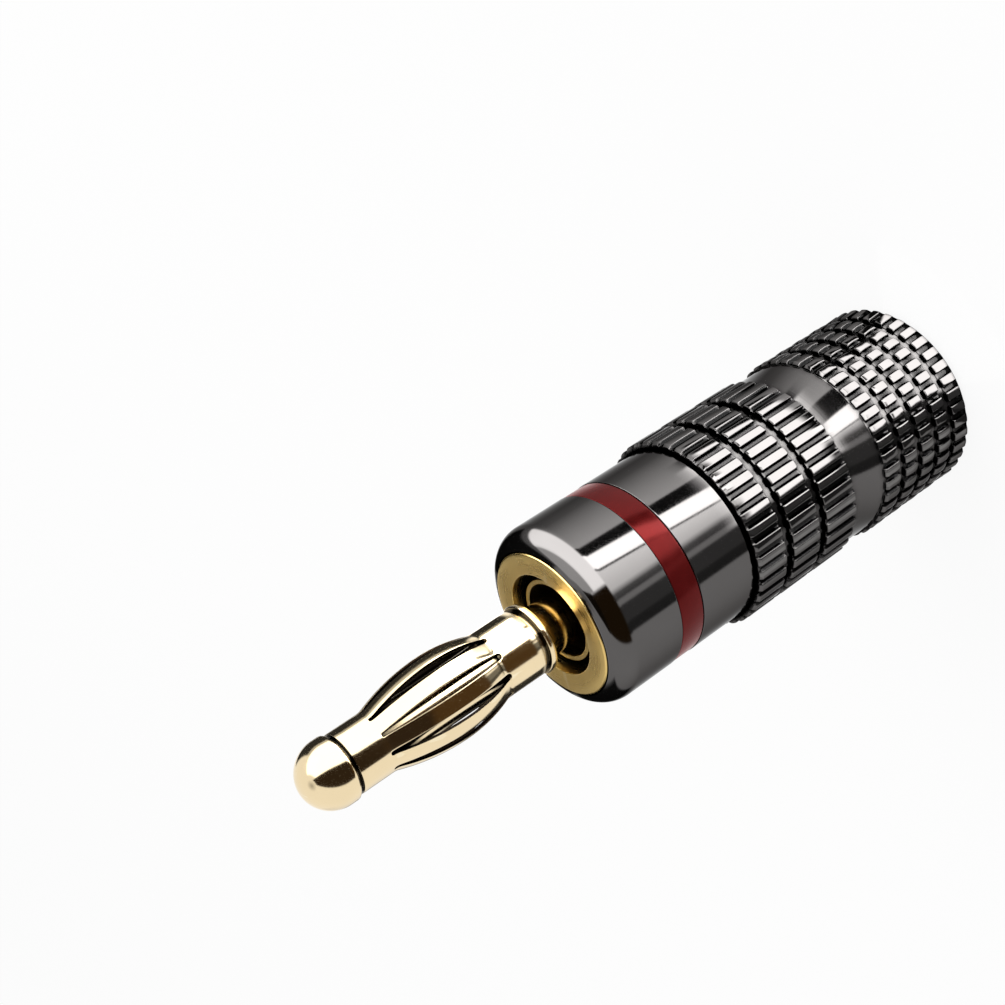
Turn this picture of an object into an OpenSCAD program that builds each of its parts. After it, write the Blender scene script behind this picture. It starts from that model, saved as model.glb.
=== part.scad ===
// Banana plug: a sprung contact pin on a round screw-together barrel with a colour ring.
// It stands on its rear face with the pin up. Z runs along the axis and is 0 at that face.

/* [Grip sleeve] */
// Radius over the knurled knob at the rear
knob_r = 5.88; // [5.8:0.02:6.1]
// Length of the knurled knob
knob_len = 7.6; // [7:0.1:9]
// Rows of knurl blocks on the knob
knob_rows = 5; // [4:1:6]
// Radius of the smooth band ahead of the knob
band_r = 5.6; // [5.45:0.01:5.61]
// Length of the smooth band
band_len = 2.6; // [2:0.1:3.2]
// Radius over the fluted rows
flute_r = 5.84; // [5.8:0.02:6]
// Length of each of the two front rows of flutes
row_len = 2.1; // [1.8:0.05:2.3]
// Length of the row of flutes next to the band
last_row_len = 2.48; // [2.2:0.01:2.8]
// Width of the groove between two rows of flutes
row_groove_w = 0.66; // [0.5:0.02:0.8]
// Depth of the groove between two rows of flutes
row_groove_depth = 0.36; // [0.3:0.02:0.5]
// Width of the groove between two rows of knurl
knurl_groove_w = 0.5; // [0.4:0.02:0.7]
// Depth of the groove between two rows of knurl
knurl_groove_depth = 0.3; // [0.2:0.02:0.5]
// Number of flutes round the sleeve
flute_count = 40; // [36:1:42]
// Depth of a flute below the fluted rows
flute_depth = 0.22; // [0.16:0.01:0.23]
// Radius of the round cutter that makes a flute
flute_cut_r = 0.27; // [0.24:0.01:0.3]
// Bevel at the ends of the rows
row_bevel = 0.14; // [0.08:0.01:0.2]
// Radius of the cable entry
entry_r = 3; // [2.6:0.05:3.4]
// Length of the cable entry
entry_len = 3.5; // [2.5:0.1:3.8]

/* [Front sleeve] */
// Radius of the smooth front sleeve
sleeve_r = 5.4; // [5.35:0.01:5.55]
// Length of the front sleeve
sleeve_len = 10.2; // [9.6:0.1:12]
// Radius of the rounded front edge
edge_round = 1.4; // [1.2:0.05:1.6]
// Bevel at the rear edge of the front sleeve
sleeve_bevel = 0.2; // [0.1:0.01:0.25]
// Wall of the front sleeve over the plug body
sleeve_wall = 0.68; // [0.6:0.01:0.8]
// Length of the lip that holds the sleeve on the body
lip_len = 2.4; // [2:0.1:2.8]
// Step by which the lip reaches in over the body
lip_step = 0.32; // [0.25:0.01:0.4]

/* [Colour ring] */
// Distance from the front face to the front edge of the ring groove
ring_setback = 4.58; // [4.2:0.02:5.2]
// Width of the ring groove
ring_groove_w = 1.65; // [1.2:0.05:2]
// Depth of the ring groove
ring_groove_depth = 0.38; // [0.3:0.01:0.4]
// Depth of the ring's surface below the sleeve
ring_sink = 0.03; // [0.02:0.01:0.08]
// Gap between the ring and its groove
ring_gap = 0.04; // [0.02:0.01:0.06]

/* [Plug body] */
// Step from the part under the front sleeve down to the threaded spigot
thread_step = 0.5; // [0.4:0.02:0.8]
// Length of the threaded spigot
thread_len = 6.2; // [5.5:0.1:6.4]
// Radial clearance of the thread
thread_gap = 0.04; // [0.02:0.01:0.08]
// Radius of the wire barrel
wire_barrel_r = 3.3; // [3.1:0.05:3.4]
// Length of the wire barrel
wire_barrel_len = 7.4; // [7:0.1:7.8]
// Radius of the wire hole
wire_hole_r = 2; // [1.6:0.05:2.1]
// Depth of the wire hole
wire_hole_depth = 9.9; // [8.5:0.1:11]
// Radius of the recess in the front face
recess_r = 3.05; // [2.95:0.05:3.3]
// Depth of the recess in the front face
recess_depth = 1.9; // [1.4:0.1:2.2]
// Outer radius of the thin collar inside the recess
collar_r = 2.5; // [2.45:0.01:2.6]
// Wall of the thin collar
collar_wall = 0.28; // [0.2:0.02:0.3]
// Depth of the collar's edge below the front face
collar_sink = 0.5; // [0.3:0.05:0.9]
// Depth of the hollow inside the collar
well_depth = 2.3; // [1.6:0.1:2.6]

/* [Contact pin] */
// Length of the pin ahead of the front face
pin_len = 16.4; // [15.8:0.1:17]
// Radius of the neck and of the shank in the body
neck_r = 1.5; // [1.3:0.05:1.6]
// Length of the shank in the body
shank_len = 4.2; // [3:0.1:5]
// Distance from the front face to the flange
flange_offset = 1.26; // [1.1:0.02:1.5]
// Thickness of the flange
flange_len = 0.4; // [0.3:0.02:0.6]
// Radius of the flange
flange_r = 2.05; // [2:0.01:2.2]
// Radius of the rod inside the spring
rod_r = 1.45; // [1.2:0.05:1.45]
// Radius of the tenon that carries the nose
tenon_r = 0.8; // [0.6:0.05:0.9]
// Length of the tenon
tenon_len = 1.2; // [0.8:0.1:1.4]

/* [Lantern spring] */
// Number of leaves
leaf_count = 10; // [8:2:10]
// Width of a leaf
leaf_w = 0.84; // [0.7:0.01:0.86]
// Thickness of the sheet
spring_t = 0.2; // [0.15:0.01:0.22]
// Outer radius of the rear collar
spring_rear_r = 1.94; // [1.9:0.01:1.98]
// Outer radius of the front band
spring_front_r = 1.72; // [1.7:0.01:1.76]
// Outer radius of the bulge
bulge_r = 2.48; // [2.3:0.01:2.6]
// Distance from the rear collar's slot ends to the fullest point of the bulge
bulge_rise = 3.15; // [2.6:0.01:3.4]
// Length of the rear collar
spring_rear_len = 2.25; // [1.8:0.01:2.6]
// Length of the front band
spring_front_len = 1.83; // [1.6:0.01:2.3]
// Gap between the flange and the spring
spring_end_gap = 0.34; // [0.2:0.01:0.4]
// Running clearance of the spring on the pin
spring_gap = 0.04; // [0.02:0.01:0.08]
// Angle at which the free spring has come to rest
spring_turn = 1; // [-18:0.1:18]

/* [Nose] */
// Radius of the rounded nose
nose_r = 1.85; // [1.78:0.01:1.9]
// Length of the straight land behind the round
nose_land = 0.62; // [0.4:0.02:0.8]
// Bevel at the rear edge of the nose
nose_bevel = 0.2; // [0.1:0.01:0.25]

/* [Set screws] */
// Radius of a set screw
screw_r = 1.25; // [1:0.05:1.3]
// Distance from the wire barrel's end to the first set screw
screw_setback = 2.1; // [1.8:0.05:2.4]
// Distance between the set screws
screw_pitch = 3.3; // [2.9:0.05:3.5]
// Across-corner radius of the hexagon socket
socket_r = 0.72; // [0.5:0.02:0.75]
// Depth of the hexagon socket
socket_depth = 0.7; // [0.4:0.05:0.8]

/* [Fits] */
// Radial gap of each fixed fit
fit_gap = 0.02; // [0.01:0.01:0.04]

/* [Hidden] */
$fn = 96;
over = 1;
front_rows = 2;
row_pitch = row_len + row_groove_w;
grip_len = knob_len + band_len + last_row_len + front_rows * row_pitch;
face_z = grip_len + sleeve_len;
first_groove_z = knob_len + band_len + last_row_len + row_groove_w / 2;
knurl_pitch = knob_len / knob_rows;
cutter_ring_r = flute_r - flute_depth + flute_cut_r;
core_r = sleeve_r - sleeve_wall - fit_gap;
face_r = core_r - lip_step;
thread_r = core_r - thread_step;
grip_bore_r = thread_r + thread_gap;
ring_top_z = face_z - ring_setback;
ring_foot_z = ring_top_z - ring_groove_w;
ring_floor_r = sleeve_r - ring_groove_depth;
shoulder_z = face_z - lip_len;
spigot_foot_z = grip_len - thread_len;
wire_end_z = spigot_foot_z - wire_barrel_len;
shank_top_z = face_z - well_depth;
flange_z = face_z + flange_offset;
spring_foot_z = flange_z + flange_len + spring_end_gap;
nose_foot_z = face_z + pin_len - nose_r - nose_land;
spring_top_z = nose_foot_z - spring_end_gap / 2;
leaf_foot_z = spring_foot_z + spring_rear_len;
leaf_top_z = spring_top_z - spring_front_len;
bulge_z = leaf_foot_z + bulge_rise;
rear_seat_r = spring_rear_r - spring_t - spring_gap;
front_seat_r = spring_front_r - spring_t - spring_gap;
seat_relief = 0.3;
slot_margin = 0.1;
foot_share = 0.08;
leaf_steps = 12;
screw_len = wire_barrel_r - wire_hole_r - 2 * fit_gap;
small_bevel = 0.1;
gunmetal = "#3d3b3c";
gold = "#d8b45c";
pale_gold = "#e6cf8a";
red = "#8c1a1f";
steel = "#55565a";

// Rise of a leaf at a distance from its foot: a short hollow arc, then a long round one, level at both ends
function leaf_rise(x, run, rise) =
    let (turn = 2 * atan(rise / run))
    let (foot_r = foot_share * run / sin(turn))
    let (crown_r = run / sin(turn) - foot_r)
    x < foot_r * sin(turn)
        ? foot_r - sqrt(foot_r * foot_r - x * x)
        : rise - crown_r + sqrt(crown_r * crown_r - (run - x) * (run - x));

// Points along the outside of a leaf from its foot at foot_z to the fullest point of the bulge
function leaf_line(foot_r, foot_z) = [
    for (i = [0 : leaf_steps])
        let (x = abs(bulge_z - foot_z) * i / leaf_steps)
        [foot_r + leaf_rise(x, abs(bulge_z - foot_z), bulge_r - foot_r), foot_z + sign(bulge_z - foot_z) * x]
];
rear_line = leaf_line(spring_rear_r, leaf_foot_z + slot_margin);
front_line = leaf_line(spring_front_r, leaf_top_z - slot_margin);
sheet_line = concat(
    [[spring_rear_r, spring_foot_z]],
    rear_line,
    [for (i = [1 : leaf_steps]) front_line[leaf_steps - i]],
    [[spring_front_r, spring_top_z]]
);

// A solid turned from a profile of radius and height
module turned(points) {
    rotate_extrude() polygon(points);
}

// Ring-shaped cutter with sloping sides for a groove round a sleeve
module groove_ring(mid_z, r, width, depth) {
    half = width / 2;
    floor_half = width / 4;
    turned([
        [r - depth, mid_z - floor_half],
        [r + over, mid_z - half - over * (half - floor_half) / depth],
        [r + over, mid_z + half + over * (half - floor_half) / depth],
        [r - depth, mid_z + floor_half]
    ]);
}

// Outline of the sleeve with round-bottomed flutes
module fluted_outline() {
    difference() {
        circle(r = max(knob_r, flute_r) + over / 20);
        for (i = [0 : flute_count - 1])
            rotate(i * 360 / flute_count) translate([cutter_ring_r, 0]) circle(r = flute_cut_r, $fn = 32);
    }
}

// Turned form of the grip sleeve before the flutes are cut
module grip_blank() {
    band_z = knob_len;
    rows_z = knob_len + band_len;
    turned([
        [0, 0],
        [knob_r - 2 * row_bevel, 0],
        [knob_r, 2 * row_bevel],
        [knob_r, band_z - row_bevel],
        [knob_r - row_bevel, band_z],
        [band_r, band_z],
        [band_r, rows_z],
        [flute_r - row_bevel, rows_z],
        [flute_r, rows_z + row_bevel],
        [flute_r, grip_len - row_bevel],
        [flute_r - row_bevel, grip_len],
        [0, grip_len]
    ]);
}

module grip_sleeve() {
    color(gunmetal)
    difference() {
        intersection() {
            grip_blank();
            linear_extrude(height = grip_len) fluted_outline();
        }
        for (i = [1 : knob_rows - 1])
            groove_ring(i * knurl_pitch, knob_r, knurl_groove_w, knurl_groove_depth);
        for (i = [0 : front_rows - 1])
            groove_ring(first_groove_z + i * row_pitch, flute_r, row_groove_w, row_groove_depth);
        turned([
            [0, -over],
            [entry_r + small_bevel + over, -over],
            [entry_r, small_bevel],
            [entry_r, entry_len],
            [grip_bore_r, entry_len],
            [grip_bore_r, grip_len + over],
            [0, grip_len + over]
        ]);
    }
}

module front_sleeve() {
    color(gunmetal)
    rotate_extrude()
    difference() {
        union() {
            polygon([
                [core_r + fit_gap, grip_len],
                [sleeve_r - sleeve_bevel, grip_len],
                [sleeve_r, grip_len + sleeve_bevel],
                [sleeve_r, face_z - edge_round],
                [face_r + fit_gap, face_z - edge_round],
                [face_r + fit_gap, shoulder_z],
                [core_r + fit_gap, shoulder_z]
            ]);
            intersection() {
                translate([sleeve_r - edge_round, face_z - edge_round]) circle(r = edge_round);
                translate([face_r + fit_gap, face_z - edge_round]) square([edge_round, edge_round]);
            }
        }
        translate([ring_floor_r, ring_foot_z]) square([over, ring_groove_w]);
    }
}

module colour_ring() {
    color(red)
    rotate_extrude()
    translate([ring_floor_r + ring_gap, ring_foot_z + ring_gap])
        square([ring_groove_depth - ring_gap - ring_sink, ring_groove_w - 2 * ring_gap]);
}

// Tapped cross hole for a set screw, along X
module screw_hole(z) {
    translate([0, 0, z]) rotate([0, 90, 0]) cylinder(r = screw_r + fit_gap, h = wire_barrel_r + over);
}

module plug_body() {
    color(gold)
    difference() {
        turned([
            [0, wire_end_z],
            [wire_barrel_r - small_bevel, wire_end_z],
            [wire_barrel_r, wire_end_z + small_bevel],
            [wire_barrel_r, spigot_foot_z],
            [thread_r - 3 * small_bevel, spigot_foot_z],
            [thread_r, spigot_foot_z + 3 * small_bevel],
            [thread_r, grip_len],
            [core_r, grip_len],
            [core_r, shoulder_z],
            [face_r, shoulder_z],
            [face_r, face_z - small_bevel],
            [face_r - small_bevel, face_z],
            [recess_r, face_z],
            [recess_r, face_z - recess_depth],
            [collar_r, face_z - recess_depth],
            [collar_r, face_z - collar_sink],
            [collar_r - collar_wall, face_z - collar_sink],
            [collar_r - collar_wall, shank_top_z],
            [neck_r + fit_gap, shank_top_z],
            [neck_r + fit_gap, shank_top_z - shank_len],
            [0, shank_top_z - shank_len]
        ]);
        translate([0, 0, wire_end_z - over]) cylinder(r = wire_hole_r, h = wire_hole_depth + over);
        for (i = [0, 1])
            screw_hole(wire_end_z + screw_setback + i * screw_pitch);
    }
}

module contact_pin() {
    flange_top_z = flange_z + flange_len;
    color(pale_gold)
    turned([
        [0, shank_top_z - shank_len],
        [neck_r, shank_top_z - shank_len],
        [neck_r, flange_z - small_bevel],
        [neck_r + small_bevel, flange_z],
        [flange_r - small_bevel, flange_z],
        [flange_r, flange_z + small_bevel],
        [flange_r, flange_top_z - small_bevel],
        [flange_r - small_bevel, flange_top_z],
        [rear_seat_r, flange_top_z],
        [rear_seat_r, leaf_foot_z - seat_relief],
        [rod_r, leaf_foot_z],
        [rod_r, leaf_top_z],
        [front_seat_r, leaf_top_z + seat_relief],
        [front_seat_r, nose_foot_z],
        [tenon_r, nose_foot_z],
        [tenon_r, nose_foot_z + tenon_len],
        [0, nose_foot_z + tenon_len]
    ]);
}

// Gap between two leaves: its sides run parallel to the leaves, so it widens with the bulge
module leaf_slot() {
    half_pitch = 180 / leaf_count;
    apex_r = leaf_w / 2 / sin(half_pitch);
    reach = bulge_r + over;
    translate([0, 0, leaf_foot_z])
    linear_extrude(height = leaf_top_z - leaf_foot_z)
    translate([apex_r, 0])
        polygon([[0, 0], [reach, -reach * tan(half_pitch)], [reach, reach * tan(half_pitch)]]);
}

module lantern_spring() {
    last = len(sheet_line) - 1;
    inside_line = [for (i = [0 : last]) sheet_line[last - i] - [spring_t, 0]];
    color(pale_gold)
    difference() {
        turned(concat(sheet_line, inside_line));
        for (i = [0 : leaf_count - 1])
            rotate(spring_turn + (i + 0.5) * 360 / leaf_count) leaf_slot();
    }
}

module nose_tip() {
    round_z = nose_foot_z + nose_land;
    color(pale_gold)
    rotate_extrude()
    difference() {
        union() {
            polygon([
                [0, nose_foot_z],
                [nose_r - nose_bevel, nose_foot_z],
                [nose_r, nose_foot_z + nose_bevel],
                [nose_r, round_z],
                [0, round_z]
            ]);
            intersection() {
                translate([0, round_z]) circle(r = nose_r);
                translate([0, round_z]) square(nose_r);
            }
        }
        translate([0, nose_foot_z - over]) square([tenon_r + fit_gap, tenon_len + over + fit_gap]);
    }
}

// Set screw with a hexagon socket and a bevelled point, turned to lie along X
module set_screw(z) {
    color(steel)
    translate([wire_barrel_r, 0, z]) rotate([0, -90, 0])
    difference() {
        turned([
            [0, fit_gap],
            [screw_r - small_bevel, fit_gap],
            [screw_r, fit_gap + small_bevel],
            [screw_r, screw_len - 2 * small_bevel],
            [screw_r - 2 * small_bevel, screw_len],
            [0, screw_len]
        ]);
        translate([0, 0, -over]) cylinder(r = socket_r, h = socket_depth + over, $fn = 6);
    }
}

module set_screw_rear() {
    set_screw(wire_end_z + screw_setback);
}

module set_screw_front() {
    set_screw(wire_end_z + screw_setback + screw_pitch);
}

grip_sleeve();
front_sleeve();
colour_ring();
plug_body();
contact_pin();
lantern_spring();
nose_tip();
set_screw_rear();
set_screw_front();
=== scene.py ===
"""Looks of the banana plug: fine meshes, plated finishes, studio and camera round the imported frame.

Lengths are in millimetres. They are turned into metres, the scene's unit, where they are handed to Blender.
"""

import math

import bmesh
import bpy
from mathutils import Matrix, Vector


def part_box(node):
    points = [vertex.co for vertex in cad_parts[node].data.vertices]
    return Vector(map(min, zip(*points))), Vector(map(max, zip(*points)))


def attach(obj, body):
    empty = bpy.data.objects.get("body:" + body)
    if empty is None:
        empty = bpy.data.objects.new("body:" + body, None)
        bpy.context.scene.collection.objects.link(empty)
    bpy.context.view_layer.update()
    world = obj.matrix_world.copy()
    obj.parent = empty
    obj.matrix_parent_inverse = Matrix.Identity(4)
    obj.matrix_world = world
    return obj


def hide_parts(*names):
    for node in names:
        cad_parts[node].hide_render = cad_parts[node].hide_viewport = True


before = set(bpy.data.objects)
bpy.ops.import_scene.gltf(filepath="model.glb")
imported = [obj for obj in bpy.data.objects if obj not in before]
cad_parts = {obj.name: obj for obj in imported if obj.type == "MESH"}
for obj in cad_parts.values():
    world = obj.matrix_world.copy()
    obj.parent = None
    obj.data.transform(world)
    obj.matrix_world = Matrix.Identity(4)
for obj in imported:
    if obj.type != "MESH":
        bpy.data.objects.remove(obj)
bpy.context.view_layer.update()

MM = 0.001
SET_SCREWS = ("set_screw_rear", "set_screw_front")


# Sizes read from the frame


def radius_of(node):
    """Largest radius of a turned node about the Z axis."""
    _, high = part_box(node)
    return high.y / MM


def span_of(node):
    """Lowest and highest point of a node along the Z axis."""
    low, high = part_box(node)
    return low.z / MM, high.z / MM


_, grip_top = span_of("grip_sleeve")
ring_foot, ring_top = span_of("colour_ring")
body_foot, face_z = span_of("plug_body")
pin_foot, pin_top = span_of("contact_pin")
spring_foot, spring_top = span_of("lantern_spring")
nose_foot, _ = span_of("nose_tip")
sleeve_r = radius_of("front_sleeve")
ring_r = radius_of("colour_ring")
core_r = radius_of("plug_body")
flange_r = radius_of("contact_pin")
bulge_r = radius_of("lantern_spring")
nose_r = radius_of("nose_tip")


# Mesh helpers

SEGMENTS = 192
EVEN_ANGLES = [2 * math.pi * k / SEGMENTS for k in range(SEGMENTS)]
SHARP_DEG = 38
POLE_R = 0.0001
EDGE_SOFT = 0.04
SMALL_BEVEL = 0.1
FIT_GAP = 0.02
ROUND_STEPS = 20


def mesh_of(bm, name):
    """Mesh with the faces of a bmesh, which is freed."""
    mesh = bpy.data.meshes.new(name)
    bm.to_mesh(mesh)
    bm.free()
    return mesh


def new_object(name, mesh):
    """Links a mesh as a new object of the scene."""
    obj = bpy.data.objects.new(name, mesh)
    bpy.context.scene.collection.objects.link(obj)
    return obj


def weigh_normals(obj):
    """Lets the larger faces of an object rule its normals, so that they look flat beside soft edges."""
    normals = obj.modifiers.new("weighted_normals", "WEIGHTED_NORMAL")
    normals.keep_sharp = True


def finish_mesh(bm, name):
    """Turns a bmesh into an object with smooth faces, sharp corners and weighted normals."""
    bmesh.ops.recalc_face_normals(bm, faces=bm.faces)
    mesh = mesh_of(bm, name)
    mesh.shade_smooth()
    mesh.set_sharp_from_angle(angle=math.radians(SHARP_DEG))
    obj = new_object(name, mesh)
    weigh_normals(obj)
    return obj


def arc_points(mid_r, mid_z, radius, sweep, steps):
    """Outline points of an arc that starts outwards from its middle and turns upwards."""
    turns = [sweep * k / steps for k in range(steps + 1)]
    return [(mid_r + radius * math.cos(turn), mid_z + radius * math.sin(turn)) for turn in turns]


def rounded(points, steps=4):
    """Closed outline of (r, z) points, where a point (r, z, fillet) is rounded by an arc of that radius."""
    outline = []
    count = len(points)
    for i, point in enumerate(points):
        corner = Vector(point[:2])
        fillet = point[2] if len(point) > 2 else 0
        if fillet == 0:
            outline.append(corner)
            continue
        before = (Vector(points[i - 1][:2]) - corner).normalized()
        after = (Vector(points[(i + 1) % count][:2]) - corner).normalized()
        half = before.angle(after) / 2
        centre = corner + (before + after).normalized() * fillet / math.sin(half)
        start = corner + before * fillet / math.tan(half) - centre
        end = corner + after * fillet / math.tan(half) - centre
        turn = math.pi - 2 * half
        if start.x * end.y < start.y * end.x:
            turn = -turn
        for k in range(steps + 1):
            outline.append(centre + Matrix.Rotation(turn * k / steps, 2) @ start)
    return [(p.x, p.y) for p in outline]


def place_at(r, angle, z):
    """Place in metres of a point at a radius, an angle round the axis and a height."""
    return (r * math.cos(angle) * MM, r * math.sin(angle) * MM, z * MM)


def join_rings(bm, low, high):
    """Faces between two rings of points, of which one may be a pole."""
    count = max(len(low), len(high))
    if count == 1:
        return
    for k in range(count):
        n = (k + 1) % count
        corners = [low[k % len(low)], low[n % len(low)], high[n % len(high)], high[k % len(high)]]
        bm.faces.new(list(dict.fromkeys(corners)))


def plain(r, angle, z):
    """Radius of an outline that is the same all round."""
    return r


def turned(name, outline, angles=EVEN_ANGLES, shape=plain):
    """Solid turned about the Z axis from a closed outline; shape(r, angle, z) may change each radius."""
    bm = bmesh.new()
    rings = []
    for r, z in outline:
        if r < POLE_R:
            rings.append([bm.verts.new(place_at(0, 0, z))])
        else:
            rings.append([bm.verts.new(place_at(shape(r, angle, z), angle, z)) for angle in angles])
    for i, ring in enumerate(rings):
        join_rings(bm, ring, rings[(i + 1) % len(rings)])
    return finish_mesh(bm, name)


# Grip sleeve

KNOB_R = 5.88
KNOB_LEN = 7.6
KNOB_ROWS = 5
BAND_R = 5.6
BAND_LEN = 2.6
FLUTE_R = 5.84
ROW_PITCH = 2.76
ROW_GROOVES = 2
FIRST_GROOVE_Z = 13.01
# Width and depth of the grooves between the rows, and the share of the width that their floor takes
ROW_GROOVE = (0.66, 0.36)
KNURL_GROOVE = (0.5, 0.3)
GROOVE_FLOOR = 0.84
FLUTES = 40
FLUTE_DEPTH = 0.22
FLUTE_CUT_R = 0.2
FLUTE_EDGE_R = 0.05
PAD_CROWN_R = 1.5
PAD_SOFT = 0.11
KNOB_CROWN = 0.06
KNOB_CROWN_STOPS = (-0.55, 0, 0.55)
ROW_BEVEL = 0.14
ENTRY_R = 3.0
ENTRY_LEN = 3.5
GRIP_BORE_R = 4.24
# Columns of the mesh to each side of a flute's middle
FLUTE_OFFSETS_DEG = (1.0, 1.6, 1.95, 2.15, 2.43, 3.0, 3.75)


def groove_points(mid_z, r, width, depth):
    """Outline of a groove with steep sides between rounded edges."""
    floor = GROOVE_FLOOR * width
    return [
        (r, mid_z - width / 2, PAD_SOFT),
        (r - depth, mid_z - floor / 2),
        (r - depth, mid_z + floor / 2),
        (r, mid_z + width / 2, PAD_SOFT),
    ]


def block_crown(foot_z, top_z):
    """Outline of the round top of a row of knurl blocks between two grooves."""
    mid_z = (foot_z + top_z) / 2
    half = (top_z - foot_z) / 2
    return [(KNOB_R - KNOB_CROWN * u**2, mid_z + u * half) for u in KNOB_CROWN_STOPS]


def grip_outline():
    """Closed outline of the grip sleeve before its flutes."""
    rows_z = KNOB_LEN + BAND_LEN
    block_pitch = KNOB_LEN / KNOB_ROWS
    width, depth = KNURL_GROOVE
    points = [(KNOB_R - 2 * ROW_BEVEL, 0, EDGE_SOFT), (KNOB_R, 2 * ROW_BEVEL, EDGE_SOFT)]
    for i in range(1, KNOB_ROWS):
        mid_z = i * block_pitch
        points += groove_points(mid_z, KNOB_R - KNOB_CROWN, width, depth - KNOB_CROWN)
        points += block_crown(mid_z + width / 2, mid_z + block_pitch - width / 2)
    points += [
        (KNOB_R, KNOB_LEN - ROW_BEVEL, EDGE_SOFT),
        (KNOB_R - ROW_BEVEL, KNOB_LEN, EDGE_SOFT),
        (BAND_R, KNOB_LEN, EDGE_SOFT),
        (BAND_R, rows_z, EDGE_SOFT),
        (FLUTE_R - ROW_BEVEL, rows_z, EDGE_SOFT),
        (FLUTE_R, rows_z + ROW_BEVEL, EDGE_SOFT),
    ]
    for i in range(ROW_GROOVES):
        points += groove_points(FIRST_GROOVE_Z + i * ROW_PITCH, FLUTE_R, *ROW_GROOVE)
    points += [
        (FLUTE_R, grip_top - ROW_BEVEL, EDGE_SOFT),
        (FLUTE_R - ROW_BEVEL, grip_top, EDGE_SOFT),
        (GRIP_BORE_R, grip_top, EDGE_SOFT),
        (GRIP_BORE_R, ENTRY_LEN),
        (ENTRY_R, ENTRY_LEN),
        (ENTRY_R, 0, 3 * EDGE_SOFT),
    ]
    return rounded(points, steps=3)


def flute_angles():
    """Angles round the sleeve, closer together at the edges of the flutes."""
    pitch = 360 / FLUTES
    offsets = [-pitch / 2] + [-o for o in reversed(FLUTE_OFFSETS_DEG)] + [0] + list(FLUTE_OFFSETS_DEG)
    return [math.radians(i * pitch + o) for i in range(FLUTES) for o in offsets]


def flute_drop(across, depth):
    """Depth of a flute at a distance across it: a round bottom between two rounded edges."""
    lift = FLUTE_CUT_R - depth
    reach = FLUTE_CUT_R + FLUTE_EDGE_R
    edge = math.sqrt(reach**2 - (lift + FLUTE_EDGE_R) ** 2)
    if across >= edge:
        return 0
    if across > edge * FLUTE_CUT_R / reach:
        return FLUTE_EDGE_R - math.sqrt(FLUTE_EDGE_R**2 - (edge - across) ** 2)
    return math.sqrt(FLUTE_CUT_R**2 - across**2) - lift


def fluted(r, angle, z):
    """Radius of the grip sleeve at an angle, with its flutes and the crowned pads between them."""
    pitch = 2 * math.pi / FLUTES
    offset = abs((angle + pitch / 2) % pitch - pitch / 2)
    land = KNOB_R if z < KNOB_LEN + BAND_LEN / 2 else FLUTE_R
    depth = land - FLUTE_R + FLUTE_DEPTH
    crown = ((pitch / 2 - offset) * land) ** 2 / 2 * (1 / PAD_CROWN_R - 1 / land)
    drop = crown + flute_drop(offset * land, depth)
    return max(min(r, land - depth), r - drop)


def add_grip_sleeve():
    """Knurled and fluted rear half of the barrel."""
    return turned("grip_sleeve_fine", grip_outline(), flute_angles(), fluted)


# Front sleeve and colour ring

SLEEVE_BEVEL = 0.2
EDGE_ROUND = 1.4
LIP_LEN = 2.4
LIP_GAP = 0.1
BODY_FACE_R = 4.34
RING_GAP = 0.04
RING_FLOOR_R = 5.02
RING_SOFT = 0.06


def add_front_sleeve():
    """Smooth front half of the barrel, with the groove of the ring and a round front edge."""
    groove_foot = ring_foot - RING_GAP
    groove_top = ring_top + RING_GAP
    bore_r = core_r + FIT_GAP
    lip_r = BODY_FACE_R + LIP_GAP
    edge_r = sleeve_r - EDGE_ROUND
    sweep = math.acos((lip_r - edge_r) / EDGE_ROUND)
    points = [
        (bore_r, grip_top, EDGE_SOFT),
        (sleeve_r - SLEEVE_BEVEL, grip_top, EDGE_SOFT),
        (sleeve_r, grip_top + SLEEVE_BEVEL, EDGE_SOFT),
        (sleeve_r, groove_foot, EDGE_SOFT),
        (RING_FLOOR_R, groove_foot),
        (RING_FLOOR_R, groove_top),
        (sleeve_r, groove_top, EDGE_SOFT),
    ]
    points += arc_points(edge_r, face_z - EDGE_ROUND, EDGE_ROUND, sweep, ROUND_STEPS)
    points += [(lip_r, face_z - LIP_LEN), (bore_r, face_z - LIP_LEN)]
    return turned("front_sleeve_fine", rounded(points))


def add_colour_ring():
    """Glossy ring in the groove of the front sleeve."""
    floor_r = RING_FLOOR_R + RING_GAP
    points = [
        (floor_r, ring_foot),
        (ring_r, ring_foot, RING_SOFT),
        (ring_r, ring_top, RING_SOFT),
        (floor_r, ring_top),
    ]
    return turned("colour_ring_fine", rounded(points))


# Plug body, with its thread

WIRE_BARREL_R = 3.3
WIRE_HOLE_R = 2.0
WIRE_HOLE_DEPTH = 9.9
SCREW_R = 1.27
HOLE_SEGMENTS = 64
THREAD_R = 4.2
THREAD_LEN = 6.2
THREAD_PITCH = 0.75
THREAD_DEPTH = 0.3
THREAD_LEAD = 0.3
THREAD_FADE = 0.5
THREAD_STATIONS = 192
THREAD_TOLERANCE = 0.001
RECESS_R = 3.05
RECESS_DEPTH = 1.9
COLLAR_R = 2.5
COLLAR_WALL = 0.28
COLLAR_SINK = 0.5
WELL_DEPTH = 2.3
NECK_R = 1.5


def thread_shape(r, angle, z):
    """Radius with a rounded helical groove of one pitch a turn, run out at both ends of the spigot."""
    foot = grip_top - THREAD_LEN
    if abs(r - THREAD_R) > THREAD_TOLERANCE or not foot < z < grip_top:
        return r
    groove = (1 - math.cos(2 * math.pi * (z - foot) / THREAD_PITCH - angle)) / 2
    fade = min(1, (z - foot) / THREAD_FADE, (grip_top - z) / THREAD_FADE)
    return r - THREAD_DEPTH * groove * fade


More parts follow.
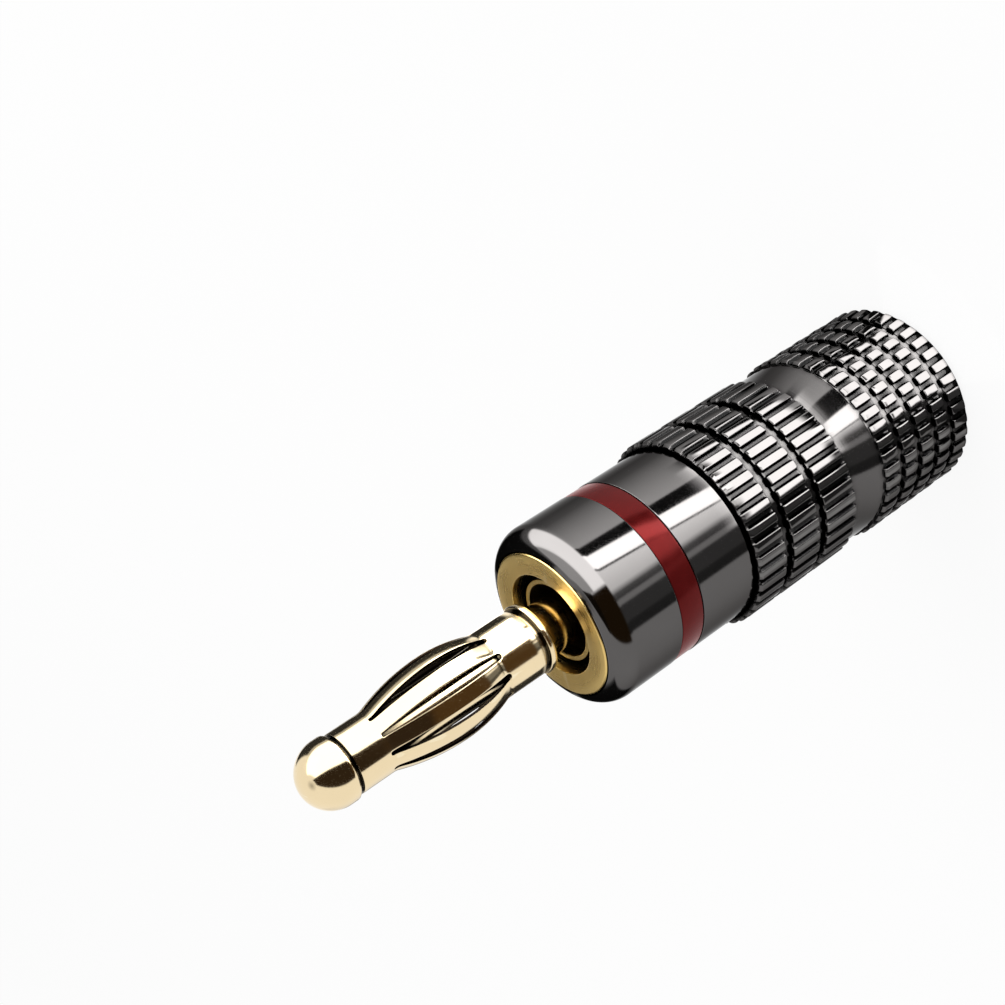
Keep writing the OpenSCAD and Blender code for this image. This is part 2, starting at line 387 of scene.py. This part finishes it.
def body_outline():
    """Closed outline of the plug body from the bottom of the wire hole round to the seat of the pin."""
    wire_end = body_foot + WIRE_HOLE_DEPTH
    thread_foot = grip_top - THREAD_LEN
    thread_start = thread_foot + THREAD_LEAD
    shoulder = face_z - LIP_LEN
    recess = face_z - RECESS_DEPTH
    collar_top = face_z - COLLAR_SINK
    collar_in = COLLAR_R - COLLAR_WALL
    well = face_z - WELL_DEPTH
    seat_r = NECK_R + FIT_GAP
    points = [
        (0, wire_end),
        (WIRE_HOLE_R, wire_end),
        (WIRE_HOLE_R, body_foot),
        (WIRE_BARREL_R, body_foot, SMALL_BEVEL),
        (WIRE_BARREL_R, thread_foot),
        (THREAD_R - THREAD_LEAD, thread_foot),
    ]
    for k in range(THREAD_STATIONS + 1):
        points.append((THREAD_R, thread_start + (grip_top - thread_start) * k / THREAD_STATIONS))
    points += [
        (core_r, grip_top, EDGE_SOFT),
        (core_r, shoulder),
        (BODY_FACE_R, shoulder),
        (BODY_FACE_R, face_z, SMALL_BEVEL),
        (RECESS_R, face_z, SMALL_BEVEL / 2),
        (RECESS_R, recess, SMALL_BEVEL),
        (COLLAR_R, recess, SMALL_BEVEL),
        (COLLAR_R, collar_top, SMALL_BEVEL / 2),
        (collar_in, collar_top, SMALL_BEVEL / 2),
        (collar_in, well, SMALL_BEVEL),
        (seat_r, well),
        (seat_r, pin_foot),
        (0, pin_foot),
    ]
    return rounded(points)


def hole_cutter(node):
    """Cylinder from the plug's axis out past the wire barrel, at the height of a set screw."""
    low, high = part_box(node)
    radius = SCREW_R * MM
    depth = 2 * WIRE_BARREL_R * MM
    bm = bmesh.new()
    bmesh.ops.create_cone(
        bm, cap_ends=True, segments=HOLE_SEGMENTS, radius1=radius, radius2=radius, depth=depth
    )
    lying = Matrix.Rotation(math.pi / 2, 4, "Y")
    bm.transform(Matrix.Translation((depth / 2, 0, (low.z + high.z) / 2)) @ lying)
    return finish_mesh(bm, node + "_cutter")


def cut_cross_holes(body):
    """Cuts the two tapped holes of the set screws through the wall of the wire barrel."""
    weighted = body.modifiers["weighted_normals"]
    weighted.show_viewport = False
    for node in SET_SCREWS:
        cutter = hole_cutter(node)
        cut = body.modifiers.new("cross_hole", "BOOLEAN")
        cut.operation = "DIFFERENCE"
        cut.solver = "EXACT"
        cut.object = cutter
        depsgraph = bpy.context.evaluated_depsgraph_get()
        mesh = bpy.data.meshes.new_from_object(body.evaluated_get(depsgraph))
        body.modifiers.remove(cut)
        body.data = mesh
        bpy.data.objects.remove(cutter)
    weighted.show_viewport = True


def add_plug_body():
    """Gold body: front face with its recess and collar, threaded spigot and wire barrel."""
    body = turned("plug_body_fine", body_outline(), shape=thread_shape)
    cut_cross_holes(body)
    return body


# Contact pin and nose

FLANGE_OFFSET = 1.26
FLANGE_LEN = 0.4
REAR_SEAT_R = 1.7
FRONT_SEAT_R = 1.48
ROD_R = 1.45
TENON_R = 0.8
SEAT_RELIEF = 0.3
REAR_COLLAR_LEN = 2.25
FRONT_BAND_LEN = 1.83
NOSE_LAND = 0.62
NOSE_BEVEL = 0.25

leaf_foot = spring_foot + REAR_COLLAR_LEN
leaf_top = spring_top - FRONT_BAND_LEN


def add_contact_pin():
    """Neck, flange and the rod that shows between the leaves of the spring."""
    flange = face_z + FLANGE_OFFSET
    flange_top = flange + FLANGE_LEN
    points = [
        (0, pin_foot),
        (NECK_R, pin_foot),
        (NECK_R, flange, SMALL_BEVEL),
        (flange_r, flange, SMALL_BEVEL),
        (flange_r, flange_top, SMALL_BEVEL),
        (REAR_SEAT_R, flange_top),
        (REAR_SEAT_R, leaf_foot - SEAT_RELIEF, SMALL_BEVEL),
        (ROD_R, leaf_foot, SMALL_BEVEL),
        (ROD_R, leaf_top),
        (FRONT_SEAT_R, leaf_top + SEAT_RELIEF),
        (FRONT_SEAT_R, nose_foot),
        (TENON_R, nose_foot),
        (TENON_R, pin_top),
        (0, pin_top),
    ]
    return turned("contact_pin_fine", rounded(points))


def add_nose_tip():
    """Round nose that holds the spring on the pin."""
    hole_r = TENON_R + FIT_GAP
    hole_end = pin_top + FIT_GAP
    points = [
        (0, hole_end),
        (hole_r, hole_end),
        (hole_r, nose_foot),
        (nose_r, nose_foot, NOSE_BEVEL),
    ]
    points += arc_points(0, nose_foot + NOSE_LAND, nose_r, math.pi / 2, 2 * ROUND_STEPS)
    return turned("nose_tip_fine", rounded(points))


# Lantern spring

LEAVES = 10
SPRING_TURN_DEG = 1.0
LEAF_W = 0.84
SHEET_T = 0.2
REAR_R = 1.94
FRONT_R = 1.72
BULGE_RISE = 3.15
SLOT_MARGIN = 0.1
FOOT_SHARE = 0.08
LEAF_COLUMNS = 12
LEAF_ROWS = 56
BAND_ROWS = 5
LEAF_EDGE = 0.05
LEAF_EDGE_STEPS = 3
LEAF_EDGE_DEG = 50
WELD = 0.001

bulge_z = leaf_foot + BULGE_RISE


def leaf_rise(x, run, rise):
    """Rise of a leaf at a distance from its foot: a short hollow arc, then a long round one."""
    turn = 2 * math.atan(rise / run)
    foot_r = FOOT_SHARE * run / math.sin(turn)
    crown_r = run / math.sin(turn) - foot_r
    if x < foot_r * math.sin(turn):
        return foot_r - math.sqrt(foot_r**2 - x**2)
    return rise - crown_r + math.sqrt(crown_r**2 - (run - x) ** 2)


def sheet_radius(z):
    """Outer radius of the spring's sheet at a height."""
    start = leaf_foot + SLOT_MARGIN
    end = leaf_top - SLOT_MARGIN
    if z <= start:
        return REAR_R
    if z >= end:
        return FRONT_R
    if z < bulge_z:
        return REAR_R + leaf_rise(z - start, bulge_z - start, bulge_r - REAR_R)
    return FRONT_R + leaf_rise(end - z, end - bulge_z, bulge_r - FRONT_R)


def leaf_half_angle(z):
    """Half the angle that one leaf takes round the axis at a height; the slots end in half circles."""
    full = math.pi / LEAVES
    inset = min(z - leaf_foot, leaf_top - z)
    if inset <= 0:
        return full
    r = sheet_radius(z)
    gap = full - math.asin(LEAF_W / 2 / r)
    end_r = r * gap
    if inset < end_r:
        gap *= math.sqrt(1 - (1 - inset / end_r) ** 2)
    return full - gap


def spring_heights():
    """Heights of the rows of the sheet, closer together at the ends of the slots."""
    rows = [spring_foot + REAR_COLLAR_LEN * k / BAND_ROWS for k in range(BAND_ROWS)]
    for k in range(LEAF_ROWS + 1):
        share = (1 - math.cos(math.pi * k / LEAF_ROWS)) / 2
        rows.append(leaf_foot + (leaf_top - leaf_foot) * share)
    rows += [leaf_top + FRONT_BAND_LEN * (k + 1) / BAND_ROWS for k in range(BAND_ROWS)]
    return rows


def add_leaf(bm, middle):
    """Faces of one leaf, at an angle round the axis, and of its share of the two bands."""
    grid = []
    for z in spring_heights():
        r = sheet_radius(z)
        half = leaf_half_angle(z)
        angles = [middle + half * (2 * k / LEAF_COLUMNS - 1) for k in range(LEAF_COLUMNS + 1)]
        grid.append([bm.verts.new(place_at(r, angle, z)) for angle in angles])
    for low, high in zip(grid, grid[1:]):
        for k in range(LEAF_COLUMNS):
            bm.faces.new((low[k], low[k + 1], high[k + 1], high[k]))


def add_lantern_spring():
    """One sheet, slit into leaves and bowed between two bands."""
    bm = bmesh.new()
    for leaf in range(LEAVES):
        add_leaf(bm, math.radians(SPRING_TURN_DEG + 360 * leaf / LEAVES))
    bmesh.ops.remove_doubles(bm, verts=bm.verts, dist=WELD * MM)
    mesh = mesh_of(bm, "lantern_spring_fine")
    mesh.shade_smooth()
    spring = new_object("lantern_spring_fine", mesh)
    sheet = spring.modifiers.new("sheet", "SOLIDIFY")
    sheet.thickness = SHEET_T * MM
    sheet.offset = -1
    edges = spring.modifiers.new("edges", "BEVEL")
    edges.width = LEAF_EDGE * MM
    edges.segments = LEAF_EDGE_STEPS
    edges.limit_method = "ANGLE"
    edges.angle_limit = math.radians(LEAF_EDGE_DEG)
    weigh_normals(spring)
    return spring


# Materials

MARKS_SCALE = 9000.0
MARKS_DEPTH = 0.0015
MARKS_ROUGHNESS = 0.4
SMUDGE_SCALE = 500.0
SMUDGE_SHADE = 0.93
SMUDGE_ROUGHNESS = 1.5
WORN_EDGE = (0.54, 0.64)
# Range of facing over which sides and undersides take painted shade
SIDE_SHADE_RANGE = (0.4, 0.9)


class Shader:
    """A node material that is built step by step round one Principled shader."""

    def __init__(self, name):
        self.material = bpy.data.materials.new(name)
        self.material.use_nodes = True
        self.nodes = self.material.node_tree.nodes
        self.links = self.material.node_tree.links
        self.principled = self.nodes["Principled BSDF"]

    def add(self, kind, inputs=None, **settings):
        """New node with its settings; each input is a value or another node's output."""
        node = self.nodes.new(kind)
        for key, value in settings.items():
            setattr(node, key, value)
        for key, value in (inputs or {}).items():
            self.set(node.inputs[key], value)
        return node

    def set(self, socket, value):
        """Links an output to a socket, or writes a plain value into it."""
        if isinstance(value, bpy.types.NodeSocket):
            self.links.new(value, socket)
        else:
            socket.default_value = value

    def put(self, **inputs):
        """Sets inputs of the Principled shader, with underscores for spaces."""
        for key, value in inputs.items():
            self.set(self.principled.inputs[key.replace("_", " ")], value)

    def show(self, shader):
        """Makes a shader node the surface of the material."""
        self.links.new(shader.outputs[0], self.nodes["Material Output"].inputs["Surface"])

    def math(self, operation, *values):
        """Result of a Math node."""
        node = self.add("ShaderNodeMath", operation=operation)
        for socket, value in zip(node.inputs, values):
            self.set(socket, value)
        return node.outputs[0]

    def turned_coords(self):
        """Coordinates that are the same all round the axis: radius and height."""
        place = self.add("ShaderNodeTexCoord").outputs["Object"]
        parts = self.add("ShaderNodeSeparateXYZ", {0: place}).outputs
        squares = [self.math("POWER", part, 2.0) for part in parts[:2]]
        radius = self.math("SQRT", self.math("ADD", *squares))
        return self.add("ShaderNodeCombineXYZ", {0: radius, 2: parts[2]}).outputs[0]

    def noise(self, scale, detail, vector=None):
        """Noise between 0 and 1, with its scale in waves a metre."""
        inputs = {"Scale": scale, "Detail": detail}
        inputs["Vector"] = vector or self.add("ShaderNodeTexCoord").outputs["Object"]
        return self.add("ShaderNodeTexNoise", inputs).outputs["Fac"]

    def between(self, value, low, high, from_low=0.3, from_high=0.7):
        """Value mapped from one range to another, held inside it."""
        inputs = {"Value": value, "From Min": from_low, "From Max": from_high, "To Min": low, "To Max": high}
        return self.add("ShaderNodeMapRange", inputs).outputs[0]

    def blend(self, share, low, high):
        """Colour between two colours."""
        node = self.add("ShaderNodeMix", data_type="RGBA")
        self.set(node.inputs["Factor"], share)
        self.set(node.inputs["A"], low)
        self.set(node.inputs["B"], high)
        return node.outputs["Result"]

    def bump(self, height, distance, strength):
        """Normal from a height whose full range is worth a distance."""
        inputs = {"Height": height, "Distance": distance * MM, "Strength": strength}
        return self.add("ShaderNodeBump", inputs).outputs["Normal"]

    def edges(self, low, high):
        """Share of wear, from the convex edges of a fine mesh."""
        pointed = self.add("ShaderNodeNewGeometry").outputs["Pointiness"]
        return self.between(pointed, 0.0, 1.0, low, high)

    def painted_hollow_shade(self, reach, low, high):
        """Share of painted shade, from how hidden the surface is in its hollows (ambient occlusion) within a
        reach.
        """
        open_sky = self.add("ShaderNodeAmbientOcclusion", {"Distance": reach * MM}, samples=8).outputs["AO"]
        return self.between(open_sky, 1.0, 0.0, low, high)

    def painted_side_shade(self):
        """Share of painted shade on a surface that faces round the axis, inwards or down, as the sides of the
        leaves do.
        """
        coords = self.add("ShaderNodeTexCoord").outputs
        flat = self.add("ShaderNodeVectorMath", {0: coords["Object"], 1: (1, 1, 0)}, operation="MULTIPLY")
        outward = self.add("ShaderNodeVectorMath", {0: flat.outputs[0]}, operation="NORMALIZE")
        inputs = {0: outward.outputs[0], 1: coords["Normal"]}
        facing = self.add("ShaderNodeVectorMath", inputs, operation="DOT_PRODUCT").outputs["Value"]
        parts = self.add("ShaderNodeSeparateXYZ", {0: coords["Normal"]})
        open_share = self.math("ADD", facing, self.math("MAXIMUM", parts.outputs[2], 0.0))
        return self.between(open_share, 1.0, 0.0, *SIDE_SHADE_RANGE)


def colour(r, g, b):
    """Opaque colour in linear light."""
    return (r, g, b, 1.0)


def plated(name, tone, worn, painted_shade_tone, roughness, hollow_shade, paint_side_shade=False):
    """Plated metal with turning marks round the axis, faint smudges, brighter edges and painted shade that
    darkens its hollows.
    """
    s = Shader(name)
    marks = s.noise(MARKS_SCALE, detail=2.0, vector=s.turned_coords())
    smudge = s.noise(SMUDGE_SCALE, detail=4.0)
    worn_share = s.math("MULTIPLY", s.edges(*WORN_EDGE), s.between(smudge, 0.2, 0.8))
    tint = s.between(smudge, 0.0, 1.0, 0.2, 0.8)
    darker = colour(*(SMUDGE_SHADE * c for c in tone))
    clean = s.blend(worn_share, s.blend(tint, darker, colour(*tone)), colour(*worn))
    # Painted shade: hollows found by ambient occlusion darken the base colour towards a near-black shade tone
    shade_share = s.painted_hollow_shade(*hollow_shade)
    # Painted shade also on faces that turn round the axis, inwards or down
    if paint_side_shade:
        shade_share = s.math("MAXIMUM", shade_share, s.painted_side_shade())
    smudged = s.between(smudge, roughness, SMUDGE_ROUGHNESS * roughness)
    marked = s.between(marks, 0.0, MARKS_ROUGHNESS * roughness)
    s.put(
        Base_Color=s.blend(shade_share, clean, colour(*painted_shade_tone)),
        Metallic=1.0,
        Roughness=s.math("ADD", smudged, marked),
        Normal=s.bump(marks, MARKS_DEPTH, strength=0.5),
    )
    return s


def gunmetal(name, hollow_shade):
    """Dark polished plating of the barrel."""
    s = plated(
        name,
        tone=(0.112, 0.107, 0.105),
        worn=(0.2, 0.195, 0.19),
        # Near-black painted shade in the hollows
        painted_shade_tone=(0.004, 0.004, 0.004),
        roughness=0.07,
        hollow_shade=hollow_shade,
    )
    s.put(Specular_Tint=colour(0.4, 0.4, 0.4))
    return s.material


def gold():
    """Satin gold plating of the body."""
    s = plated(
        "gold",
        tone=(0.78, 0.56, 0.2),
        worn=(0.88, 0.7, 0.36),
        # Dark painted shade in the recess of the face and other hollows
        painted_shade_tone=(0.02, 0.012, 0.006),
        roughness=0.2,
        hollow_shade=(1.5, 0.35, 0.8),
    )
    return s.material


def pale_gold():
    """Pale polished gold plating of the pin, the spring and the nose."""
    s = plated(
        "pale_gold",
        tone=(0.88, 0.72, 0.46),
        worn=(0.95, 0.84, 0.6),
        # Dark painted shade in the hollows and on the sides and undersides of the leaves
        painted_shade_tone=(0.008, 0.005, 0.003),
        roughness=0.08,
        hollow_shade=(0.6, 0.4, 0.8),
        paint_side_shade=True,
    )
    return s.material


def red_ring():
    """Deep red enamel."""
    s = Shader("red_ring")
    mottle = s.noise(scale=1500.0, detail=3.0)
    ripple = s.noise(scale=4000.0, detail=2.0)
    s.put(
        Base_Color=s.blend(mottle, colour(0.095, 0.006, 0.006), colour(0.125, 0.008, 0.008)),
        Metallic=0.28,
        Roughness=s.between(mottle, 0.18, 0.26),
        Normal=s.bump(ripple, distance=0.001, strength=0.3),
        Specular_IOR_Level=0.16,
        Specular_Tint=colour(0.9, 0.3, 0.28),
    )
    return s.material


def screw_steel():
    """Black-oxide steel of the set screws."""
    s = plated(
        "screw_steel",
        tone=(0.12, 0.12, 0.125),
        worn=(0.3, 0.3, 0.3),
        # Dark painted shade in the hollows
        painted_shade_tone=(0.02, 0.02, 0.02),
        roughness=0.28,
        hollow_shade=(0.6, 0.3, 0.8),
    )
    return s.material


def dress(obj, material, slot, body, *nodes):
    """Gives a piece its finish and its body, in place of the nodes that it stands for."""
    obj.data.materials.clear()
    obj.data.materials.append(material)
    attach(obj, body)
    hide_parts(*nodes)


# Camera of the photograph

IMAGE_SIDE = 1005
FOCAL_PIXELS = 1600
SENSOR = 36
CAMERA_PLACE = Vector((0, -76.466, 67.15)) * MM
CAMERA_AIM = Vector((6.882, -0.608, 26.953)) * MM
CAMERA_ROLL_DEG = -121.58
CAMERA_SWING_DEG = -2.8
CLIP_START = 1
CLIP_END = 10000


def add_camera():
    """Camera at the photograph's viewing angle, swung a little about the plug to meet its flutes."""
    data = bpy.data.cameras.new("camera")
    data.sensor_width = SENSOR
    data.lens = FOCAL_PIXELS / IMAGE_SIDE * SENSOR
    data.clip_start = CLIP_START * MM
    data.clip_end = CLIP_END * MM
    camera = bpy.data.objects.new("camera", data)
    bpy.context.scene.collection.objects.link(camera)
    look = (CAMERA_AIM - CAMERA_PLACE).to_track_quat("-Z", "Y").to_matrix().to_4x4()
    roll = Matrix.Rotation(math.radians(CAMERA_ROLL_DEG), 4, "Z")
    swing = Matrix.Rotation(math.radians(CAMERA_SWING_DEG), 4, "Z")
    camera.matrix_world = swing @ Matrix.Translation(CAMERA_PLACE) @ look @ roll
    bpy.context.scene.camera = camera


# Studio

FLOOR_R = 4000
FLOOR_SEGMENTS = 96
FLOOR_GLOW = 0.9
WORLD_GLOW = 0.75
WORLD_SEEN = 0.98
SOFTBOX_SIZE = 300
SOFTBOX_WATTS = 0.45
SOFTBOX_PLACE = Vector((250, -80, 250)) * MM
SOFTBOX_AIM = Vector((0, 0, 20)) * MM
TENT_R = 10
TENT_TOP = 80
TENT_STEP_DEG = 0.5
TENT_ROWS = 96
TENT_SPREAD = 1.5
APRON = (6, 0.05)
LID_GLOW = 0.4
# Light round the barrel: azimuth from the camera at the foot and at the head, and glow, even between stops
STRIPS = (
    (-180, -180, 6.0),
    (-166, -166, 6.0),
    (-165, -165, 0.1),
    (-152, -152, 0.1),
    (-150, -150, 0.8),
    (-120, -120, 1.0),
    (-45, -45, 1.0),
    (-43, -43, 0.08),
    (-35, -35, 0.1),
    (-33, -33, 0.2),
    (-20, -20, 0.2),
    (-18, -18, 1.1),
    (-15, -15, 1.1),
    (-13, -13, 0.3),
    (-9, -9, 0.5),
    (-4, -4, 4.0),
    (-2.6, 11.4, 5.5),
    (-2.2, 11.8, 0.4),
    (-1.4, 13.4, 0.4),
    (-1, 14, 10.0),
    (12.6, 27.6, 10.0),
    (13.2, 28.2, 0.03),
    (31.5, 38.5, 0.03),
    (33, 40, 2.5),
    (85, 85, 0.6),
    (100, 100, 0.5),
    (115, 115, 1.2),
    (150, 150, 1.2),
    (152, 152, 2.0),
    (180, 180, 6.0),
)
STRIP_FOOT = 5
STRIP_HEAD = 22
# Cards for knob, rows and pin: azimuth from and to, height from and to, degrees of lean a millimetre, glow
CARDS = (
    (-18, 50, -3, 4.3, 0, (9.0, 9.0, 9.0)),
    (51, 62, -3, 4.3, 0, (0.03, 0.03, 0.03)),
    (-18, 50, 7.6, 15.2, 0, (9.0, 9.0, 9.0)),
    (51, 62, 7.6, 15.2, 0, (0.03, 0.03, 0.03)),
    (-200, 200, 46, 90, 0, (1.0, 1.0, 1.0)),
    (3, 90, 32, 62, 0, (2.2, 2.2, 2.2)),
    (3, 90, 26, 33, 0, (7.0, 7.0, 7.0)),
    (-50, 2, 26, 38, 0, (0.07, 0.04, 0.016)),
    (-36, 22, 37, 78, 0.9, (0.03, 0.02, 0.012)),
    (-100, -52, 26, 62, 0, (1.0, 1.0, 1.0)),
    (100, 148, 26, 46, 0, (0.03, 0.03, 0.03)),
    (-148, -105, 25, 33, 0, (0.03, 0.03, 0.03)),
    (150, 210, 29, 41, 0, (0.3, 0.28, 0.25)),
    (150, 210, 41, 90, 0, (1.0, 1.0, 1.0)),
)
CARD_SOFT_DEG = 3
CARD_SOFT = 0.7


def floor_white():
    """White that glows where it is seen, and still takes a faint shadow."""
    s = Shader("floor")
    s.put(Base_Color=colour(0.9, 0.9, 0.9), Roughness=0.9)
    path = s.add("ShaderNodeLightPath").outputs
    bounced = s.math("MAXIMUM", path["Is Glossy Ray"], path["Is Transmission Ray"])
    seen = s.math("MAXIMUM", path["Is Camera Ray"], bounced)
    white = s.add("ShaderNodeEmission", {"Color": colour(1, 1, 1), "Strength": 1.0})
    shaders = {1: s.principled.outputs[0], 2: white.outputs[0]}
    s.show(s.add("ShaderNodeMixShader", {0: s.math("MULTIPLY", seen, FLOOR_GLOW), **shaders}))
    return s.material


def add_floor():
    """Plain white floor."""
    bm = bmesh.new()
    bmesh.ops.create_circle(bm, cap_ends=True, segments=FLOOR_SEGMENTS, radius=FLOOR_R * MM)
    floor = new_object("floor", mesh_of(bm, "floor"))
    floor.data.materials.append(floor_white())


def panel_share(value, low, high, soft):
    """1 inside a range and 0 outside it, with soft ends."""
    return min(1, max(0, min(value - low, high - value) / soft + 0.5))


def strip_glow(azimuth, height):
    """Glow of the strips round the barrel, which lean a little with the height."""
    share = (height - STRIP_FOOT) / (STRIP_HEAD - STRIP_FOOT)
    stops = [(foot + (head - foot) * share, glow) for foot, head, glow in STRIPS]
    for (start, low), (end, high) in zip(stops, stops[1:]):
        if azimuth <= end:
            break
    return low + (high - low) * (azimuth - start) / (end - start)


def tent_light(azimuth, height):
    """Colour of the light tent's glow in one direction."""
    light = [strip_glow(azimuth, height)] * 3
    for az_low, az_high, low, high, lean, card in CARDS:
        mid = (az_low + az_high) / 2
        near = (azimuth - mid + 180) % 360 - 180 + mid - lean * (height - (low + high) / 2)
        share = panel_share(near, az_low, az_high, CARD_SOFT_DEG) * panel_share(height, low, high, CARD_SOFT)
        light = [glow + (level - glow) * share for glow, level in zip(light, card)]
    return light


def tent_rings():
    """Radius and height of the tent's rings: an apron at the floor and a wall, closer together near it."""
    heights = [TENT_TOP * (row / TENT_ROWS) ** TENT_SPREAD for row in range(TENT_ROWS + 1)]
    return [APRON] + [(TENT_R, max(APRON[1], height)) for height in heights]


def tent_mesh():
    """Apron, wall and lid of the light tent, with a glow at each point."""
    columns = round(360 / TENT_STEP_DEG)
    rings = tent_rings()
    verts, faces, light = [], [], []
    for r, z in rings:
        for col in range(columns):
            azimuth = col * TENT_STEP_DEG - 180
            verts.append(place_at(r, math.radians(azimuth + CAMERA_SWING_DEG - 90), z))
            light += [*tent_light(azimuth, z), 1.0]
    for row in range(len(rings) - 1):
        low = row * columns
        for col in range(columns):
            n = (col + 1) % columns
            faces.append((low + col, low + n, low + columns + n, low + columns + col))
    top = (len(rings) - 1) * columns
    lid = len(verts)
    verts.append(place_at(0, 0, TENT_TOP))
    light += [LID_GLOW, LID_GLOW, LID_GLOW, 1.0]
    faces += [(top + col, top + (col + 1) % columns, lid) for col in range(columns)]
    mesh = bpy.data.meshes.new("light_tent")
    mesh.from_pydata(verts, [], faces)
    mesh.shade_smooth()
    mesh.attributes.new("light", "FLOAT_COLOR", "POINT").data.foreach_set("color", light)
    return mesh


def tent_glow():
    """Glow that is read from the points of the tent."""
    s = Shader("light_tent")
    s.material.cycles.emission_sampling = "NONE"
    read = s.add("ShaderNodeAttribute", attribute_name="light")
    s.show(s.add("ShaderNodeEmission", {"Color": read.outputs["Color"]}))
    s.nodes.remove(s.principled)
    return s.material


def add_light_tent():
    """Strips of light and dark round the plug, seen only in its reflections."""
    tent = new_object("light_tent", tent_mesh())
    tent.data.materials.append(tent_glow())
    tent.visible_camera = False
    tent.visible_diffuse = False
    tent.visible_transmission = False
    tent.visible_volume_scatter = False
    tent.visible_shadow = False


def add_world():
    """Plain pale surroundings, white where the camera sees them past the floor."""
    world = bpy.data.worlds.new("studio")
    bpy.context.scene.world = world
    world.use_nodes = True
    tree = world.node_tree
    background = tree.nodes["Background"].inputs
    background["Color"].default_value = colour(1, 1, 1)
    path = tree.nodes.new("ShaderNodeLightPath")
    level = tree.nodes.new("ShaderNodeMath")
    level.operation = "MULTIPLY_ADD"
    level.inputs[1].default_value = WORLD_SEEN - WORLD_GLOW
    level.inputs[2].default_value = WORLD_GLOW
    tree.links.new(path.outputs["Is Camera Ray"], level.inputs[0])
    tree.links.new(level.outputs[0], background["Strength"])


def add_softbox():
    """Wide soft lamp above, to one side."""
    data = bpy.data.lights.new("softbox", "AREA")
    data.shape = "DISK"
    data.size = SOFTBOX_SIZE * MM
    data.energy = SOFTBOX_WATTS
    lamp = bpy.data.objects.new("softbox", data)
    lamp.location = SOFTBOX_PLACE
    lamp.rotation_mode = "QUATERNION"
    lamp.rotation_quaternion = (SOFTBOX_AIM - SOFTBOX_PLACE).to_track_quat("-Z", "Y")
    bpy.context.scene.collection.objects.link(lamp)


# Assembly

add_camera()
# The cut gunmetal takes painted shade deeper into its flutes and grooves than the smooth one
smooth = gunmetal("gunmetal_smooth", hollow_shade=(0.3, 0.3, 0.6))
cut = gunmetal("gunmetal_cut", hollow_shade=(0.5, 0.78, 0.96))
pale = pale_gold()
steel = screw_steel()
dress(add_grip_sleeve(), cut, "gunmetal", "grip", "grip_sleeve")
dress(add_front_sleeve(), smooth, "gunmetal", "front", "front_sleeve")
dress(add_colour_ring(), red_ring(), "red_ring", "ring", "colour_ring")
dress(add_plug_body(), gold(), "gold", "front", "plug_body")
dress(add_contact_pin(), pale, "pale_gold", "front", "contact_pin")
dress(add_nose_tip(), pale, "pale_gold", "front", "nose_tip")
dress(add_lantern_spring(), pale, "pale_gold", "spring", "lantern_spring")
for screw in SET_SCREWS:
    for material_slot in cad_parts[screw].material_slots:
        material_slot.material = steel
add_floor()
add_light_tent()
add_world()
add_softbox()
bpy.context.scene.view_settings.view_transform = "Standard"
